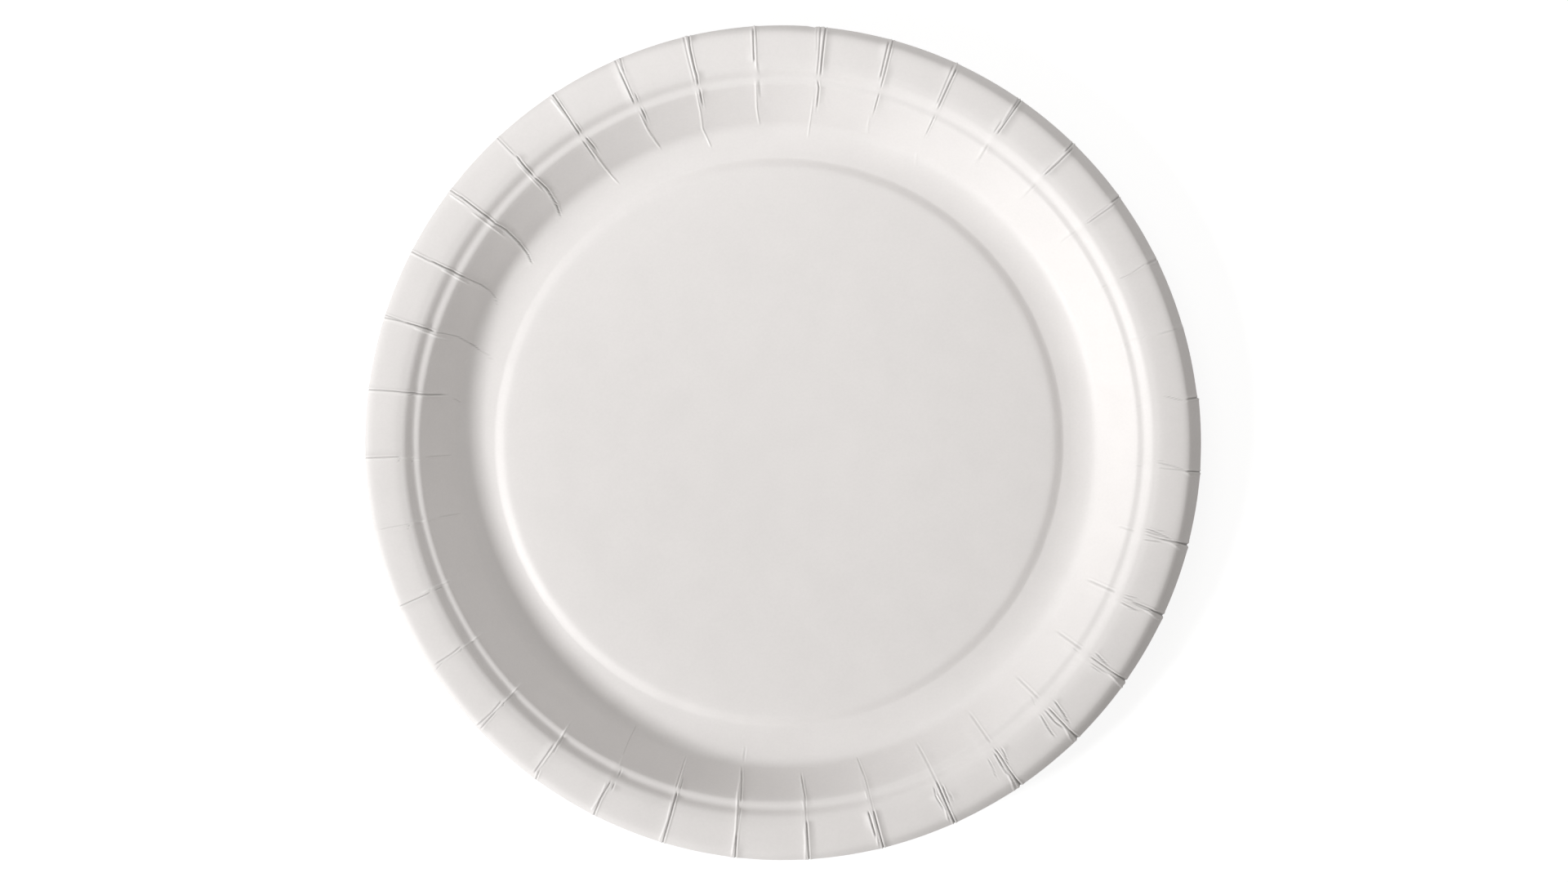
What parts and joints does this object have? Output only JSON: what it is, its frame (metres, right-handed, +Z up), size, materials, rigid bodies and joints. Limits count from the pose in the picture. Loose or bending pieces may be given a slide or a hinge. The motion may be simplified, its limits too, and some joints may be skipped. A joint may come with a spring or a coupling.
{
  "type": "paper plate",
  "caption": "Round white paperboard plate: raised flat floor, ring foot, sloping wall with a small ledge, flat brim and turned-down edge with fine radial pleats.",
  "frame": {"origin": "middle of the plate, on the surface that its ring foot stands on", "axes": "+Z up, out of the eating side; +X is the right of the picture and +Y its top"},
  "size_m": [0.2301, 0.23, 0.0151],
  "materials": {
    "board": "white coated paperboard, satin"
  },
  "bodies": {
    "root": {"paper_plate": "board"}
  },
  "joints": []
}
